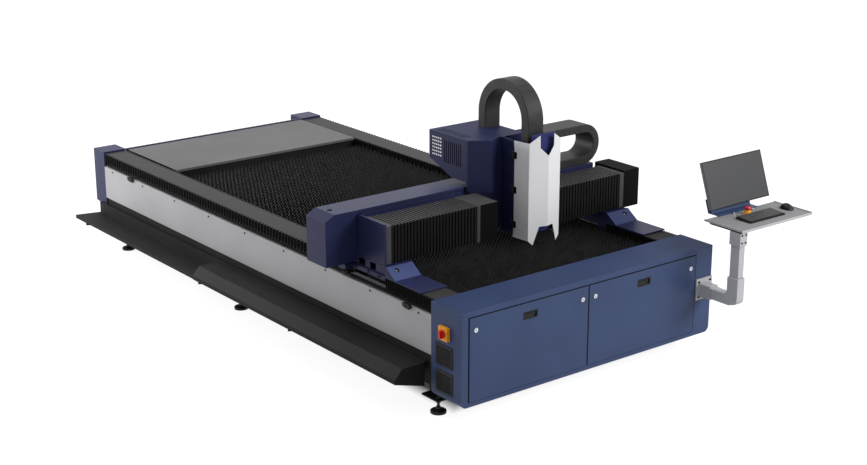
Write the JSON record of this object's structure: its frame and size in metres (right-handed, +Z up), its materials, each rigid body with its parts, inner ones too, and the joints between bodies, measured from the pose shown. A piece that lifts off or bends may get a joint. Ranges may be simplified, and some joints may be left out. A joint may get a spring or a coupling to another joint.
{
  "type": "flat-bed laser cutting machine",
  "caption": "Open flat-bed laser cutter: slatted bed on a low frame, travelling gantry with bellows, cutting head under a white shroud, drag chains, front cabinet and operator console.",
  "frame": {"origin": "on the floor, under the middle of the machine's box", "axes": "+Z up, +Y along the bed from the front cabinet to the rear, +X to the console's side"},
  "size_m": [2.7386, 4.826, 1.6709],
  "materials": {
    "navy_paint": "satin enamel on sheet steel",
    "silver_paint": "satin silver-grey paint",
    "charcoal_paint": "textured powder coat",
    "bellows_cloth": "coated pleated cloth",
    "rail_cloth": "coated grey pleated cloth",
    "slat_steel": "dark mill-scale sheet",
    "grey_paint": "satin grey paint",
    "bright_steel": "ground steel",
    "black_plastic": "moulded, fine texture",
    "white_paint": "gloss white paint",
    "yellow_plastic": "moulded gloss",
    "red_plastic": "moulded gloss"
  },
  "bodies": {
    "machine": {"bed_frame": "charcoal_paint", "bed_legs": "charcoal_paint", "levelling_feet": "black_plastic", "side_panels": "silver_paint", "side_shelves": "charcoal_paint", "shelf_covers": "charcoal_paint", "rear_posts": "navy_paint", "rear_panel": "navy_paint", "rear_deck": "grey_paint", "slat_ledges": "charcoal_paint", "slats": "slat_steel", "y_guides": "bright_steel", "rail_bellows": "rail_cloth", "front_bellows": "rail_cloth", "cabinet_shell": "navy_paint", "control_gear": "grey_paint", "vent_grilles": "charcoal_paint", "switch_plate": "yellow_plastic", "console_flange": "silver_paint", "console_arm": "silver_paint", "console_post": "silver_paint", "console_head": "silver_paint"},
    "switch": {"switch_knob": "red_plastic"},
    "door_left": {"door_left": "navy_paint"},
    "door_right": {"door_right": "navy_paint"},
    "lock_1": {"lock_1": "bright_steel"},
    "lock_2": {"lock_2": "bright_steel"},
    "lock_3": {"lock_3": "bright_steel"},
    "lock_4": {"lock_4": "bright_steel"},
    "paddle_left": {"paddle_left": "black_plastic"},
    "paddle_right": {"paddle_right": "black_plastic"},
    "console": {"tray": "silver_paint", "monitor_bracket": "navy_paint", "monitor": "black_plastic", "keyboard": "black_plastic", "mouse": "black_plastic", "stop_base": "yellow_plastic", "button_rings": "bright_steel"},
    "stop_button": {"stop_button": "red_plastic"},
    "button_1": {"button_1": "bright_steel"},
    "button_2": {"button_2": "bright_steel"},
    "button_3": {"button_3": "bright_steel"},
    "gantry": {"gantry_beam": "charcoal_paint", "beam_cover": "navy_paint", "end_cover": "navy_paint", "gantry_feet": "navy_paint", "end_plates": "navy_paint", "end_cap": "black_plastic", "y_drives": "black_plastic", "box_bellows_left": "bellows_cloth", "box_bellows_right": "bellows_cloth"},
    "carriage": {"saddle": "navy_paint", "bellows_frames": "charcoal_paint", "housing": "navy_paint", "head_shell": "navy_paint", "x_chain": "black_plastic", "z_chain": "black_plastic"},
    "shroud": {"head_shroud": "white_paint"},
    "head": {"z_slide": "navy_paint", "cutting_head": "bright_steel"}
  },
  "joints": [
    {"name": "gantry_travel", "type": "slide", "parent": "machine", "child": "gantry", "axis": [0, 1, 0], "range_m": [-0.085, 2.7], "deforming": ["rail_bellows", "front_bellows"]},
    {"name": "carriage_travel", "type": "slide", "parent": "gantry", "child": "carriage", "axis": [1, 0, 0], "range_m": [-0.51, 0.4], "deforming": ["box_bellows_left", "box_bellows_right", "x_chain"]},
    {"name": "head_lift", "type": "slide", "parent": "carriage", "child": "head", "axis": [0, 0, 1], "range_m": [-0.08, 0.02], "deforming": ["z_chain"]},
    {"name": "shroud_hinge", "type": "hinge", "parent": "carriage", "child": "shroud", "pos_m": [-0.07975, -1.245, 1], "axis": [0, 0, -1], "range_deg": [0, 90]},
    {"name": "door_left_hinge", "type": "hinge", "parent": "machine", "child": "door_left", "pos_m": [-0.65475, -2.084, 0.14], "axis": [1, 0, 0], "range_deg": [0, 90]},
    {"name": "door_right_hinge", "type": "hinge", "parent": "machine", "child": "door_right", "pos_m": [0.24925, -2.084, 0.14], "axis": [1, 0, 0], "range_deg": [0, 90]},
    {"name": "lock_1_turn", "type": "hinge", "parent": "door_left", "child": "lock_1", "pos_m": [-1.05675, -2.081, 0.566], "axis": [0, 1, 0], "range_deg": [0, 90]},
    {"name": "lock_2_turn", "type": "hinge", "parent": "door_left", "child": "lock_2", "pos_m": [-0.25275, -2.081, 0.566], "axis": [0, 1, 0], "range_deg": [0, 90]},
    {"name": "lock_3_turn", "type": "hinge", "parent": "door_right", "child": "lock_3", "pos_m": [-0.15275, -2.081, 0.566], "axis": [0, 1, 0], "range_deg": [0, 90]},
    {"name": "lock_4_turn", "type": "hinge", "parent": "door_right", "child": "lock_4", "pos_m": [0.65125, -2.081, 0.566], "axis": [0, 1, 0], "range_deg": [0, 90]},
    {"name": "paddle_left_pull", "type": "hinge", "parent": "door_left", "child": "paddle_left", "pos_m": [-0.65475, -2.081, 0.572], "axis": [-1, 0, 0], "range_deg": [0, 40]},
    {"name": "paddle_right_pull", "type": "hinge", "parent": "door_right", "child": "paddle_right", "pos_m": [0.24925, -2.081, 0.572], "axis": [-1, 0, 0], "range_deg": [0, 40]},
    {"name": "switch_turn", "type": "hinge", "parent": "machine", "child": "switch", "pos_m": [-1.15575, -1.938, 0.527], "axis": [-1, 0, 0], "range_deg": [0, 90]},
    {"name": "console_swivel", "type": "hinge", "parent": "machine", "child": "console", "pos_m": [0.75825, -2.358, 0.85], "axis": [0, 0, 1], "range_deg": [-60, 60]},
    {"name": "stop_press", "type": "slide", "parent": "console", "child": "stop_button", "axis": [0, 0, -1], "range_m": [0, 0.004]},
    {"name": "button_1_press", "type": "slide", "parent": "console", "child": "button_1", "axis": [0, 0, -1], "range_m": [0, 0.002], "stiffness_N_per_m": 400},
    {"name": "button_2_press", "type": "slide", "parent": "console", "child": "button_2", "axis": [0, 0, -1], "range_m": [0, 0.002], "stiffness_N_per_m": 400},
    {"name": "button_3_press", "type": "slide", "parent": "console", "child": "button_3", "axis": [0, 0, -1], "range_m": [0, 0.002], "stiffness_N_per_m": 400}
  ]
}
